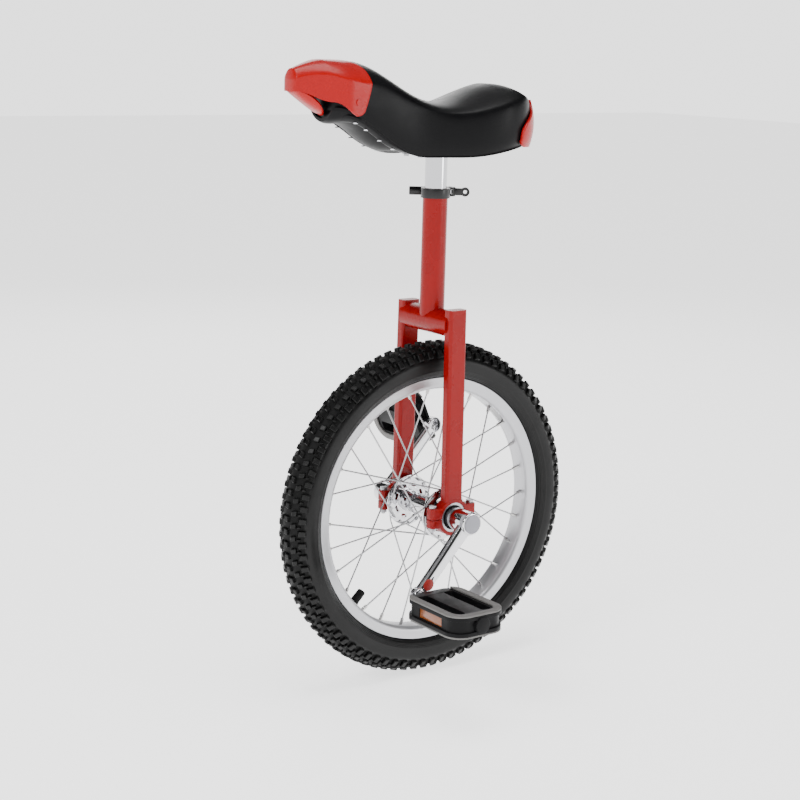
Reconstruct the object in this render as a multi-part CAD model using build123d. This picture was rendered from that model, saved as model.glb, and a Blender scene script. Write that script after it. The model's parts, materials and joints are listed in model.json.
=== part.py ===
from build123d import *
import os
from math import atan2, cos, degrees, pi, radians, sin, sqrt

# A unicycle with a 16-inch wheel. +X is forward (the saddle's handle), +Y is the rider's left,
# +Z is up. The origin is where the tyre meets the ground, straight below the axle. Millimetres.

# Wheel
tyre_radius = 200.0
tyre_width = 50.0
tyre_wall = 3.2
rim_edge_radius = 158.0
rim_width = 28.0
rim_wall = 1.6
rim_depth = 12.4
spoke_count = 28
spoke_radius = 0.9
cross_count = 3
nipple_length = 9.5
nipple_radius = 1.9
nipple_head_radius = 2.2
nipple_hole_radius = 2.6
valve_angle = -45.0
valve_length = 18.0
valve_radius = 3.9
valve_cap_radius = 5.0

# Hub, bearings and holders
flange_radius = 30.5
flange_spacing = 70.0
flange_thickness = 2.4
hub_barrel_radius = 12.5
axle_radius = 8.5
bearing_radius = 17.5
bearing_width = 10.0
bearing_spacing = 97.2
ball_radius = 2.3
balls_per_bearing = 10
holder_wall = 4.1
holder_split = 0.8
ear_reach = 32.0
ear_bolt_offset = 27.0
upper_ear = 13.0
lower_ear = 10.0
holder_corner = 4.0
holder_bolt_radius = 2.5

# Fork and seat tube
leg_depth = 24.0
leg_width = 13.3
leg_corner = 3.5
leg_wall = 1.6
crown_gap = 9.5
leg_splay = 3.5
crown_radius = 15.0
crown_wall = 2.2
crown_drop = 17.5
seat_tube_radius = 14.3
seat_tube_rise = 134.0
seat_tube_slot = 3.0
seat_tube_slot_length = 28.0

# Seat clamp
post_radius = 12.7
post_wall = 2.0
post_clearance = 0.1
collar_wall = 2.4
collar_height = 11.0
clamp_turn = 144.1
skewer_offset = 22.0
skewer_radius = 2.5
barrel_nut_radius = 5.0
barrel_nut_length = 18.0
lever_pivot = 17.0
lever_length = 17.5
lever_height = 10.4
lever_arm = 7.2
lever_cam_radius = 6.4
skewer_eye_radius = 4.6
pivot_pin_radius = 1.8

# Seat
post_foot_gap = 32.5
post_exposure = 43.0
bracket_plate = 3.0
bracket_socket = 4.0
bracket_length = 82.0
bracket_breadth = 40.0
cover_thickness = 2.2
soft_clearance = 0.4
base_thickness = 3.5
foam_lift = 3.0
saddle_nose = 158.0
saddle_tail = -116.0
saddle_tail_radius = 62.0
saddle_waist = 37.0
dip_rise = 55.0
nose_rise = 98.5
tail_rise = 77.0
skirt_drop = 5.0
nose_skirt_rise = 45.0
bumper_wall = 3.0
bumper_bite = 1.4
rear_bumper_edge = -80.0
nose_tip = 198.0
front_bumper_edge = 118.0
grip_half = 19.0
lip_half = 13.0

# Cranks and pedals
crank_length = 102.0
crank_angle = -48.0
crank_inner = 76.0
crank_thickness = 11.0
crank_boss_inner = 57.5
crank_boss_radius = 13.2
crank_eye_radius = 9.8
crank_root_half = 10.0
crank_end_half = 7.6
taper_side = 12.6
taper_growth = 1.2
dust_cap_radius = 11.2
pedal_depth = 73.0
pedal_length = 98.0
pedal_thickness = 26.0
pedal_gap = 10.0
pedal_corner = 20.0
pedal_rail = 12.0
pedal_groove = 2.6
pedal_flange = 4.2
pedal_barrel_radius = 10.0
pedal_spindle_radius = 4.5
pedal_clearance = 0.05
tread_thickness = 2.2
tread_rail = 9.0
reflector_length = 40.0
reflector_height = 11.0
right_pedal_turn = 114.0

running_gap = 0.15
leg_top = tyre_radius + crown_gap + crown_radius + crown_drop
seat_tube_top = leg_top + seat_tube_rise
bracket_height = seat_tube_top + post_exposure
dip_height = bracket_height + dip_rise
nose_height = bracket_height + nose_rise
tail_height = bracket_height + tail_rise
skirt_height = bracket_height - skirt_drop
nose_skirt_height = bracket_height + nose_skirt_rise
axle_height = tyre_radius
bearing_y = bearing_spacing / 2
flange_y = flange_spacing / 2
flange_outer = flange_y + flange_thickness / 2
holder_radius = bearing_radius + holder_wall
rim_inner = rim_edge_radius - rim_depth - rim_wall
spoke_hole_radius = flange_radius - 3.0
crank_outer = crank_inner + crank_thickness
pedal_start = crank_outer + pedal_gap + 3.0
pedal_end = pedal_start + pedal_length
LOW = (Align.CENTER, Align.CENTER, Align.MIN)


def rod_y(radius, y0, y1, x=0.0, z=0.0):
    """A round bar along Y, between two values of Y."""
    bar = Cylinder(radius, abs(y1 - y0), align=LOW)
    return Pos(x, min(y0, y1), z) * Rot(X=-90) * bar


def rod_z(radius, z0, z1, x=0.0, y=0.0):
    """A round bar along Z, between two heights."""
    return Pos(x, y, min(z0, z1)) * Cylinder(radius, abs(z1 - z0), align=LOW)


def rod(start, end, radius):
    """A round bar between two points."""
    way = Vector(*end) - Vector(*start)
    return Plane(origin=start, z_dir=way) * Cylinder(radius, way.length, align=LOW)


def plate_y(sketch, y0, y1):
    """A sketch drawn in X and Z, made solid between two values of Y."""
    return extrude(Plane.XZ.offset(-max(y0, y1)) * sketch, amount=abs(y1 - y0))


def plate_z(sketch, z0, z1):
    """A sketch drawn in X and Y, made solid between two heights."""
    return extrude(Plane.XY.offset(min(z0, z1)) * sketch, amount=abs(z1 - z0))


def block(x0, x1, y0, y1, z0, z1):
    """A plain box between two corners."""
    place = Pos((x0 + x1) / 2, (y0 + y1) / 2, (z0 + z1) / 2)
    return place * Box(abs(x1 - x0), abs(y1 - y0), abs(z1 - z0))


def turned(points):
    """A ring turned about the axle from a closed outline of radius and Y."""
    outline = make_face(Polyline(*points, close=True))
    return revolve(outline, axis=Axis.Y)


def rim_point(angle, radius, y=0.0):
    """A point of the wheel at an angle, in degrees up from forward."""
    return (radius * cos(radians(angle)), y, radius * sin(radians(angle)))


def hexagon(across_flats):
    return RegularPolygon(across_flats / sqrt(3), 6)


def group(shapes):
    return Compound(children=list(shapes))


# ---------------------------------------------------------------- wheel

section_centre = tyre_radius - tyre_width / 2
floor_top = rim_inner + rim_wall
tape_radius = floor_top + 0.9 + nipple_head_radius + 0.1
tube_low = tape_radius + 0.8
channel_half = rim_width / 2 - rim_wall


def bulb(radius, shoulder, half_neck, low):
    """The omega section of a tyre or tube: a circle cut flat at its shoulder, on a straight neck."""
    reach = section_centre + radius
    round_part = Pos(section_centre, 0) * Circle(radius)
    round_part &= Pos((shoulder + reach) / 2, 0) * Rectangle(reach - shoulder, 3 * radius)
    neck = Pos((section_centre + low) / 2, 0) * Rectangle(section_centre - low, 2 * half_neck)
    return round_part + neck


tyre_shoulder = rim_edge_radius + 0.3
bead_half = channel_half - 0.3
bead_wall = 4.5
tube_gap = 0.3
tube_wall = 1.0


def make_tyre():
    half, low = tyre_width / 2, rim_edge_radius - 7.0
    outside = bulb(half, tyre_shoulder, bead_half, low)
    hollow = bulb(half - tyre_wall, tyre_shoulder + tyre_wall, bead_half - bead_wall, low - 2)
    return revolve(outside - hollow, axis=Axis.Y)


def make_inner_tube():
    radius = tyre_width / 2 - tyre_wall - tube_gap
    shoulder = tyre_shoulder + tyre_wall + tube_gap
    neck = bead_half - bead_wall - tube_gap
    outside = bulb(radius, shoulder, neck, tube_low)
    hollow = bulb(radius - tube_wall, shoulder + tube_wall, neck - tube_wall, tube_low + tube_wall)
    return revolve(outside - hollow, axis=Axis.Y)


def make_rim():
    half, inner, edge, wall = rim_width / 2, rim_inner, rim_edge_radius, rim_wall
    side = [(inner, half - 3.5), (inner + 3.2, half), (edge, half), (edge, half - wall)]
    side += [(inner + 4.2, half - wall), (inner + wall, half - 5.0)]
    outline = side + [(r, -y) for r, y in reversed(side)]
    rim = turned(outline)
    for number in range(spoke_count):
        angle = number * 360 / spoke_count
        rim -= rod(rim_point(angle, inner - 3), rim_point(angle, floor_top + 3), nipple_hole_radius)
    hole_ends = rim_point(valve_angle, inner - 3), rim_point(valve_angle, floor_top + 3)
    return rim - rod(*hole_ends, valve_radius + 0.3)


def valve_rod(start, end, radius):
    """A round bar on the valve's own line, between two distances from the axle."""
    return rod(rim_point(valve_angle, start), rim_point(valve_angle, end), radius)


def make_rim_tape():
    half = channel_half - bead_wall
    low, high = tape_radius, tape_radius + 0.6
    tape = turned([(low, half), (high, half), (high, -half), (low, -half)])
    return tape - valve_rod(low - 2, high + 2, valve_radius + 0.2)


def make_valve_stem():
    return valve_rod(rim_inner - valve_length / 2, tube_low - 0.1, valve_radius)


def make_valve_cap():
    """The rubber cap, hollow over the end of the stem."""
    cap = valve_rod(rim_inner - valve_length, rim_inner - 1.2, valve_cap_radius)
    return cap - valve_rod(rim_inner - valve_length / 2, rim_inner, valve_radius)


def along(start, end, distance):
    """The point a distance from start on the way to end."""
    way = Vector(*end) - Vector(*start)
    return tuple(Vector(*start) + way * (distance / way.length))


def spoke_path(number):
    """Nipple seat, knee at the flange's edge, elbow and head of one spoke.

    The spokes of one flange lie by turns outside and inside it, and lean opposite ways, so that
    each crosses its neighbours. One that lies outside runs flat on the flange up to its edge.
    """
    side = 1 if number % 2 == 0 else -1
    lead = -1 if ((number + 3) // 2) % 2 else 1
    rim_angle = number * 360 / spoke_count
    hole_angle = rim_angle + lead * cross_count * 720 / spoke_count
    lay = flange_thickness / 2 + spoke_radius + (0.1 if lead > 0 else 1.3)
    nipple = rim_point(rim_angle, floor_top)
    elbow = rim_point(hole_angle, spoke_hole_radius, side * (flange_y + lead * lay))
    head = rim_point(hole_angle, spoke_hole_radius, side * (flange_y - lead * (flange_thickness / 2 + 0.1)))
    if lead < 0:
        return nipple, elbow, elbow, head
    level_nipple = (nipple[0], elbow[1], nipple[2])
    reach = sqrt((flange_radius + 2) ** 2 - spoke_hole_radius ** 2) * 1.05
    return nipple, along(elbow, level_nipple, reach), elbow, head


def make_spoke(number):
    nipple, knee, elbow, head = spoke_path(number)
    outward = 1 if head[1] > elbow[1] else -1
    spoke = rod(knee, along(nipple, knee, 1.5), spoke_radius) + Pos(*elbow) * Sphere(spoke_radius)
    if knee != elbow:
        spoke += rod(elbow, knee, spoke_radius) + Pos(*knee) * Sphere(spoke_radius)
    spoke += rod(elbow, head, spoke_radius)
    return spoke + rod(head, (head[0], head[1] + outward * 0.9, head[2]), 1.8)


def make_nipple(number):
    nipple, knee, _, _ = spoke_path(number)
    seat = Vector(*nipple) * ((floor_top + 0.9) / floor_top)
    body = rod(nipple, along(nipple, knee, nipple_length), nipple_radius)
    body += Pos(*seat) * Sphere(nipple_head_radius)
    return body - rod(along(nipple, knee, 1.5), along(nipple, knee, nipple_length + 3), spoke_radius)


def make_flange(side):
    disc = Circle(flange_radius) - Circle(hub_barrel_radius)
    first = 0 if side > 0 else 1
    for number in range(first, spoke_count, 2):
        x, _, z = rim_point(number * 360 / spoke_count, spoke_hole_radius)
        disc -= Pos(x, z) * Circle(spoke_radius + 0.15)
    for number in range(8):
        angle = 110 + number * 45
        x, _, z = rim_point(angle, 19.2)
        disc -= Pos(x, z) * Rot(Z=angle + 90) * SlotOverall(8.0, 3.5)
    return plate_y(disc, side * (flange_outer - flange_thickness), side * flange_outer)


def make_hub_barrel():
    return rod_y(hub_barrel_radius, -flange_outer, flange_outer) - rod_y(axle_radius, -50, 50)


def square_at(y, width):
    """A square across the axle, at one value of Y."""
    place = Plane(origin=(0, y, 0), x_dir=(1, 0, 0), z_dir=(0, 1 if y > 0 else -1, 0))
    return (place * Rectangle(width, width)).faces()[0]


def taper(side):
    """The square tapered end of the axle, which the crank is pressed on."""
    wide = square_at(side * (crank_boss_inner - 1), taper_side + taper_growth)
    narrow = square_at(side * (crank_outer - 12), taper_side)
    return Rot(Y=-crank_angle) * loft([wide, narrow])


def make_axle():
    axle = rod_y(axle_radius, 1 - crank_boss_inner, crank_boss_inner - 1)
    bearing_inner_face = bearing_y - bearing_width / 2
    for side in (1, -1):
        axle += rod_y(axle_radius + 2, side * flange_outer, side * bearing_inner_face)
        axle += taper(side)
        axle += rod_y(4.0, side * (crank_outer - 13), side * (crank_outer - 4))
    return axle


bearing_inner_ring = 11.4
bearing_outer_ring = 14.6
ball_circle = (bearing_inner_ring + bearing_outer_ring) / 2


def ball_groove(side):
    circle = Pos(ball_circle, side * bearing_y) * Circle(ball_radius + running_gap)
    return revolve(circle, axis=Axis.Y)


def bearing_ring(side, outer, inner):
    y0, y1 = side * (bearing_y - bearing_width / 2), side * (bearing_y + bearing_width / 2)
    return rod_y(outer, y0, y1) - rod_y(inner, y0 - side, y1 + side) - ball_groove(side)


def make_balls():
    balls = []
    for side in (1, -1):
        for number in range(balls_per_bearing):
            x, _, z = rim_point(number * 360 / balls_per_bearing, ball_circle)
            balls.append(Pos(x, side * bearing_y, z) * Sphere(ball_radius))
    return group(balls)


def make_seals():
    """A ring let into each face of each bearing, clear of the inner race."""
    seals = []
    for side in (1, -1):
        for face in (1, -1):
            outside = side * bearing_y + face * (bearing_width / 2 - 0.2)
            inside = outside - face * 1.0
            hole = rod_y(bearing_inner_ring + 0.25, inside - face, outside + face)
            seals.append(rod_y(bearing_outer_ring, inside, outside) - hole)
    return group(seals)


# ---------------------------------------------------------------- frame

holder_y0 = bearing_y - leg_width / 2
holder_y1 = bearing_y + leg_width / 2


def split_half(side, ear, upwards):
    """One half of a bearing holder: half a ring with a drilled ear at each end."""
    y0, y1 = side * holder_y0, side * holder_y1
    half = rod_y(holder_radius, y0, y1) + block(-ear_reach, ear_reach, y0, y1, 0, upwards * ear)
    half -= rod_y(bearing_radius, y0 - side, y1 + side)
    half -= block(-60, 60, y0 - side, y1 + side, -upwards * 60, upwards * holder_split / 2)
    for x in (ear_bolt_offset, -ear_bolt_offset):
        half -= rod_z(holder_bolt_radius + 0.2, -ear - 2, ear + 2, x, side * bearing_y)
    upright = half.edges().filter_by(Axis.Z)
    corners = [edge for edge in upright if abs(edge.center().X) > ear_reach - 1]
    return fillet(corners, holder_corner)


def make_holder(side):
    """Upper half of the split bearing holder, which is welded under the fork leg."""
    return split_half(side, upper_ear, 1)


def make_cap(side):
    """Lower half of the holder, bolted up against the bearing."""
    return split_half(side, lower_ear, -1)


def make_holder_bolts():
    bolts = []
    for side in (1, -1):
        for x in (ear_bolt_offset, -ear_bolt_offset):
            y = side * bearing_y
            bolt = rod_z(holder_bolt_radius, -lower_ear - 6, upper_ear, x, y)
            head = Pos(x, y) * plate_z(hexagon(8.0), upper_ear, upper_ear + 3.6)
            bolts.append(bolt + head)
    return group(bolts)


def make_holder_nuts():
    nuts = []
    for side in (1, -1):
        for x in (ear_bolt_offset, -ear_bolt_offset):
            ring = hexagon(8.0) - Circle(holder_bolt_radius)
            nuts.append(Pos(x, side * bearing_y) * plate_z(ring, -lower_ear - 4.2, -lower_ear))
    return group(nuts)


def leg_bar(side, inset, top):
    """The leg's closed section, from the axle's height to a flat top, leaning in as it rises."""
    section = RectangleRounded(leg_depth - 2 * inset, leg_width - 2 * inset, leg_corner - inset)
    lean = degrees(atan2(leg_splay, leg_top))
    bar = Pos(0, side * bearing_y, 0) * Rot(X=side * lean) * extrude(section, amount=top + 10)
    return bar & block(-60, 60, -90, 90, 0, top)


def make_leg(side):
    leg = leg_bar(side, 0, leg_top) - leg_bar(side, leg_wall, leg_top - 2)
    leg -= rod_y(holder_radius, side * (holder_y0 - 9), side * (holder_y1 + 9))
    return leg - block(-60, 60, -90, 90, -1, upper_ear)


crown_height = leg_top - crown_drop


def make_crown():
    """The cross tube between the legs, its ends cut to the legs' inner faces."""
    reach = bearing_y
    crown = rod_y(crown_radius, -reach, reach, 0, crown_height)
    crown -= rod_y(crown_radius - crown_wall, -reach - 1, reach + 1, 0, crown_height)
    crown -= leg_bar(1, 0, leg_top + 5)
    crown -= leg_bar(-1, 0, leg_top + 5)
    middle = crown & block(-60, 60, -bearing_y + 4, bearing_y - 4, crown_height - 60, crown_height + 60)
    return max(middle.solids(), key=lambda piece: piece.volume)


def in_clamp(shape):
    """Turn a piece drawn in the clamp's own frame to where the clamp faces."""
    return Rot(Z=clamp_turn) * shape


tube_bore = post_radius + post_clearance
collar_low = seat_tube_top - collar_height
collar_middle = seat_tube_top - collar_height / 2
ear_outer = skewer_offset + 5.2
nut_start = -12.0
ear_right = 9.5
ear_gap = 2.0


def make_seat_tube():
    tube = rod_z(seat_tube_radius, crown_height, seat_tube_top)
    tube -= rod_z(tube_bore, crown_height - 1, seat_tube_top + 1)
    tube -= rod_y(crown_radius, -60, 60, 0, crown_height)
    slot_low = seat_tube_top - seat_tube_slot_length
    slot = block(-seat_tube_slot / 2, seat_tube_slot / 2, 5, 30, slot_low, seat_tube_top + 1)
    return tube - in_clamp(slot)


def skewer_rod(x0, x1, radius):
    """A round bar on the skewer's line, in the clamp's own frame."""
    return rod((x0, skewer_offset, collar_middle), (x1, skewer_offset, collar_middle), radius)


def pivot_rod(radius, half_height):
    """A round upright bar on the lever's pivot, in the clamp's own frame."""
    low, high = collar_middle - half_height, collar_middle + half_height
    return rod_z(radius, low, high, lever_pivot, skewer_offset)


def make_collar():
    """A split ring with two ears, which the skewer pulls together."""
    collar = rod_z(seat_tube_radius + collar_wall, collar_low, seat_tube_top)
    collar += block(nut_start, ear_right, seat_tube_radius - 2, ear_outer, collar_low, seat_tube_top)
    collar -= rod_z(seat_tube_radius, collar_low - 1, seat_tube_top + 1)
    collar -= block(-ear_gap / 2, ear_gap / 2, 5, ear_outer + 5, collar_low - 1, seat_tube_top + 1)
    return in_clamp(collar - skewer_rod(nut_start - 5, ear_right + 5, skewer_radius + 0.2))


def make_skewer():
    """The rod through both ears, with an eye for the lever's pin."""
    skewer = skewer_rod(nut_start - barrel_nut_length + 3, lever_pivot - 3.2, skewer_radius)
    eye = pivot_rod(skewer_eye_radius, 2.0) - pivot_rod(pivot_pin_radius, 3.0)
    return in_clamp(skewer + eye)


def make_barrel_nut():
    nut = skewer_rod(nut_start - barrel_nut_length, nut_start, barrel_nut_radius)
    return in_clamp(nut - skewer_rod(nut_start - barrel_nut_length + 3, nut_start + 1, skewer_radius))


def make_pivot_pin():
    return in_clamp(pivot_rod(pivot_pin_radius, lever_height / 2 + 0.6))


def make_lever():
    """A forked cam lever with an eyelet at its tip."""
    half = lever_height / 2
    low, high = collar_middle - half, collar_middle + half
    tip = lever_pivot + lever_length
    y0, y1 = skewer_offset - lever_arm / 2, skewer_offset + lever_arm / 2
    lever = pivot_rod(lever_cam_radius, half) + block(lever_pivot, tip, y0, y1, low + 1.2, high - 1.2)
    lever += rod_y(5.2, y0, y1, tip, collar_middle)
    lever -= rod_y(2.2, y0 - 5, y1 + 5, tip, collar_middle)
    lever -= pivot_rod(pivot_pin_radius + 0.06, half + 1)
    fork = pivot_rod(skewer_eye_radius + 0.5, 2.4)
    rod_room = skewer_radius + 0.4
    fork += block(lever_pivot - 12, lever_pivot + rod_room, skewer_offset - 9, skewer_offset + 9,
                  collar_middle - rod_room, collar_middle + rod_room)
    return in_clamp(lever - fork)


# ---------------------------------------------------------------- seat

def make_seatpost():
    low = crown_height + crown_radius + post_foot_gap
    post = rod_z(post_radius, low, bracket_height)
    return post - rod_z(post_radius - post_wall, low - 1, bracket_height - 3)


stud_x = bracket_length / 2 - 8
stud_y = bracket_breadth / 2 - 7
stud_places = [(x, y) for x in (stud_x, -stud_x) for y in (stud_y, -stud_y)]


def make_bracket():
    plate = RectangleRounded(bracket_length, bracket_breadth, 8)
    for x, y in stud_places:
        plate -= Pos(x, y) * Circle(3.2)
    bracket = plate_z(plate, bracket_height, bracket_height + bracket_plate)
    socket = Circle(post_radius + 2.5) - Circle(post_radius)
    return bracket + plate_z(socket, bracket_height - bracket_socket, bracket_height)


def ease(x, x0, value0, x1, value1):
    """Smooth change from one value to another along the saddle."""
    share = min(max((x - x0) / (x1 - x0), 0.0), 1.0)
    return value0 + (value1 - value0) * (1 - cos(pi * share)) / 2


tail_centre = saddle_tail + saddle_tail_radius
dip_x = 10.0
tail_crown_x = -80.0
nose_crown_x = 132.0


def half_width(x):
    if x < tail_centre:
        return sqrt(max(saddle_tail_radius ** 2 - (x - tail_centre) ** 2, 100.0))
    if x < 60:
        return ease(x, tail_centre, saddle_tail_radius, 60, saddle_waist)
    return ease(x, 130, saddle_waist, saddle_nose + 12, saddle_waist * 0.6)


def top_line(x):
    if x < tail_crown_x:
        return ease(x, saddle_tail - 20, tail_height - 24, tail_crown_x, tail_height)
    if x < dip_x:
        return ease(x, tail_crown_x, tail_height, dip_x, dip_height)
    if x < nose_crown_x:
        return ease(x, dip_x, dip_height, nose_crown_x, nose_height)
    return ease(x, nose_crown_x, nose_height, saddle_nose + 20, nose_height - 12)


def crease_line(x):
    """Height of the edge between the saddle's top and its side."""
    crown = ease(x, dip_x, 10, nose_crown_x, 19) if x > dip_x else ease(x, tail_crown_x, 19, dip_x, 10)
    if x < tail_centre:
        crown = ease(x, saddle_tail - 4, 6, tail_centre, 18)
    return top_line(x) - crown


def skirt_line(x):
    """Height of the lower edge of the saddle's side."""
    if x < 0:
        return ease(x, saddle_tail, skirt_height + 14, 0, skirt_height)
    return ease(x, 40, skirt_height, saddle_nose, nose_skirt_height)


def belly_line(x):
    """Height of the underside's middle: hollow over the bracket, rounded under the nose."""
    if x < 30:
        return skirt_line(x) + ease(x, saddle_tail, 2, -60, 12)
    return skirt_line(x) + ease(x, 30, 12, 100, -12)


stations = [saddle_tail + step for step in (1.0, 6.0, 15.0, 28.0, 44.0, 62.0, 93.0)]
stations += [10.0, 45.0, 80.0, 112.0, 140.0, saddle_nose]


def saddle_section(x, half, low, low_middle, crease, top):
    """A closed outline across the saddle: curved below and above, straight at the sides."""
    low_half = half * 0.97
    bottom = ThreePointArc((-low_half, low), (0, low_middle), (low_half, low))
    right = Line((low_half, low), (half, crease))
    crown = ThreePointArc((half, crease), (0, top), (-half, crease))
    left = Line((-half, crease), (-low_half, low))
    place = Plane(origin=(x, 0, 0), x_dir=(0, 1, 0), z_dir=(1, 0, 0))
    return (place * make_face([bottom, right, crown, left])).faces()[0]


def saddle_loft(inset, low_shift, places):
    """The saddle's shape drawn in by an inset, with its underside raised by low_shift."""
    sections = []
    for x in places:
        low, middle = skirt_line(x) + low_shift, belly_line(x) + low_shift
        crease, top = crease_line(x) - inset, top_line(x) - inset
        sections.append(saddle_section(x, half_width(x) - inset, low, middle, crease, top))
    return loft(sections)


def make_cover():
    return saddle_loft(0, 0, stations) - saddle_loft(cover_thickness, -9.0, stations)


def make_foam():
    inset = cover_thickness + soft_clearance
    return saddle_loft(inset, base_thickness + foam_lift, stations[1:-1])


def make_base():
    """The plastic shell under the foam, with bosses for the bracket's studs."""
    inset = cover_thickness + 2 * soft_clearance
    sections = []
    for x in stations[1:]:
        low, middle, half = skirt_line(x), belly_line(x), half_width(x) * 0.97 - inset
        sections.append(saddle_section(x, half, low, middle, low + base_thickness, middle + base_thickness))
    base = loft(sections)
    plate_top = bracket_height + bracket_plate
    for x, y in stud_places:
        base += rod_z(6.0, plate_top, belly_line(x) + 1.5, x, y)
    for x, y in stud_places:
        base -= rod_z(3.0, plate_top - 1, plate_top + 6, x, y)
    return base


def make_saddle_studs():
    plate_top = bracket_height + bracket_plate
    return group(rod_z(3.0, bracket_height - 7, plate_top + 6, x, y) for x, y in stud_places)


def make_saddle_nuts():
    ring = hexagon(10.0) - Circle(3.0)
    nut = plate_z(ring, bracket_height - 5, bracket_height)
    return group(Pos(x, y) * nut for x, y in stud_places)


def saddle_clearance():
    """The saddle's outer shape, a little larger, which the bumpers fit over."""
    return saddle_loft(-soft_clearance, -soft_clearance, stations)


bumper_crown_x = 160.0


def bumper_half(x):
    return ease(x, 138, saddle_waist + bumper_wall, nose_tip + 10, 0.3 * saddle_waist)


def bumper_top(x):
    if x < bumper_crown_x:
        return ease(x, front_bumper_edge, nose_height + 0.5, bumper_crown_x, nose_height + 2)
    share = (x - bumper_crown_x) / (nose_tip - bumper_crown_x)
    return nose_height + 2 - 20 * share ** 2.2


def bumper_section(x):
    """A section of the front bumper: straight sides, and a top as round as the saddle's."""
    top, half = bumper_top(x), bumper_half(x)
    crease = top - ease(x, front_bumper_edge, 22, nose_tip, 8)
    low = ease(x, 150, nose_skirt_height - 10, nose_tip, nose_height - 35)
    return saddle_section(x, half, low, low - 2, crease, top)


def make_front_bumper(saddle):
    """A moulded cap over the nose whose front turns under into a handle."""
    places = (front_bumper_edge, 128, 140, 154, 168, 180, 190, nose_tip - 1)
    shell = loft([bumper_section(x) for x in places])
    low_edge, high_edge = nose_skirt_height - 6, nose_height - 28
    rear_cut = make_face(Polyline((100, skirt_height), (front_bumper_edge + 12, low_edge),
                                  (front_bumper_edge, high_edge - 6), (front_bumper_edge + 3, high_edge + 6),
                                  (front_bumper_edge + 18, nose_height + 20), (100, nose_height + 20),
                                  close=True))
    shell -= plate_y(rear_cut, -60, 60)
    lip_low = nose_height - 30
    grip_room = make_face(Polyline((140, low_edge + 3), (176, lip_low - 16), (188, lip_low - 2),
                                   (184, lip_low + 13), (150, lip_low + 16), close=True))
    shell -= plate_y(grip_room, -grip_half, grip_half)
    under_cut = make_face(Polyline((110, skirt_height), (front_bumper_edge + 10, low_edge), (160, lip_low - 19),
                                   (nose_tip - 4, lip_low - 4), (nose_tip + 20, lip_low), (nose_tip + 20, skirt_height),
                                   close=True))
    shell -= plate_y(under_cut, -60, 60)
    shell -= saddle
    front, rear = nose_tip - 9, saddle_nose + 3
    lip = make_face(Polyline((front, lip_low + 2), (front, lip_low - 5), (rear, lip_low - 26),
                             (rear - 3, lip_low - 22), (front - 7, lip_low - 3), close=True))
    shell += plate_y(lip, -lip_half, lip_half)
    return max(shell.solids(), key=lambda piece: piece.volume)


def make_rear_bumper(saddle):
    """A moulded crescent round the lower part of the tail."""
    outer = Pos(tail_centre, 0) * Circle(saddle_tail_radius + bumper_wall)
    crescent = outer & Pos(rear_bumper_edge - 60, 0) * Rectangle(120, 200)
    band = plate_z(crescent, skirt_height + 9, tail_height - 26)
    band -= saddle
    inner = Pos(tail_centre, 0) * Circle(saddle_tail_radius - bumper_bite)
    band -= plate_z(inner, skirt_height, tail_height)
    return max(band.solids(), key=lambda piece: piece.volume)


def make_staples():
    """Wire staples that hold the cover's edge under the nose."""
    staples = []
    for x in (62, 80, 98, 116, 130):
        for side in (1, -1):
            y = side * (half_width(x) - 9)
            z = skirt_line(x) + (belly_line(x) - skirt_line(x)) * 0.42
            staples.append(block(x - 4.5, x + 4.5, y - 0.4, y + 0.4, z - 1.6, z - 0.4))
    return group(staples)


def make_bumper_screws():
    screws = []
    for side in (1, -1):
        y = side * (saddle_waist + bumper_wall)
        screws.append(rod_y(3.5, y, y + side * 1.2, 136, nose_skirt_height + 10))
    return group(screws)


# ---------------------------------------------------------------- cranks and pedals

crank_x = crank_length * cos(radians(crank_angle))
crank_z = crank_length * sin(radians(crank_angle))


def make_crank(side):
    """A forged arm with a square hole at the axle and a threaded eye at the pedal."""
    x, z = side * crank_x, side * crank_z
    turn = atan2(z, x)
    nx, nz = -sin(turn), cos(turn)
    big, small = crank_root_half, crank_end_half
    arm = make_face(Polyline((nx * big, nz * big), (x + nx * small, z + nz * small),
                             (x - nx * small, z - nz * small), (-nx * big, -nz * big), close=True))
    shape = arm + Circle(crank_boss_radius) + Pos(x, z) * Circle(crank_eye_radius)
    crank = plate_y(shape, side * crank_inner, side * crank_outer)
    crank += rod_y(crank_boss_radius, side * crank_boss_inner, side * (crank_outer + 2))
    crank -= taper(side)
    crank -= rod_y(8.0, side * (crank_outer - 12), side * (crank_outer + 5))
    crank -= rod_y(pedal_spindle_radius + 2.6, side * (crank_inner - 1), side * (crank_outer + 1), x, z)
    return crank


def make_crank_nuts():
    nuts = []
    for side in (1, -1):
        ring = hexagon(13.0) - Circle(4.0)
        nuts.append(plate_y(ring, side * (crank_outer - 12), side * (crank_outer - 5)))
    return group(nuts)


def make_dust_caps():
    caps = []
    for side in (1, -1):
        cap = rod_y(dust_cap_radius, side * (crank_outer + 2), side * (crank_outer + 3.6))
        caps.append(cap + rod_y(7.9, side * (crank_outer - 2), side * (crank_outer + 2.5)))
    return group(caps)


def at_pedal(side, shape):
    """Place a piece drawn about the pedal's own axis; the right pedal hangs turned."""
    turn = 0 if side > 0 else right_pedal_turn
    return Pos(side * crank_x, 0, side * crank_z) * Rot(Y=turn) * shape


def make_pedal_spindle(side):
    spindle = rod_y(pedal_spindle_radius + 2.6, side * crank_inner, side * crank_outer)
    spindle += rod_y(8.0, side * crank_outer, side * (crank_outer + 3.5))
    spindle += rod_y(pedal_spindle_radius + 1.5, side * (crank_outer + 3.5), side * (pedal_start + 10))
    spindle += rod_y(pedal_spindle_radius, side * (pedal_start + 10), side * (pedal_end - 14))
    return at_pedal(side, spindle)


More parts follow.
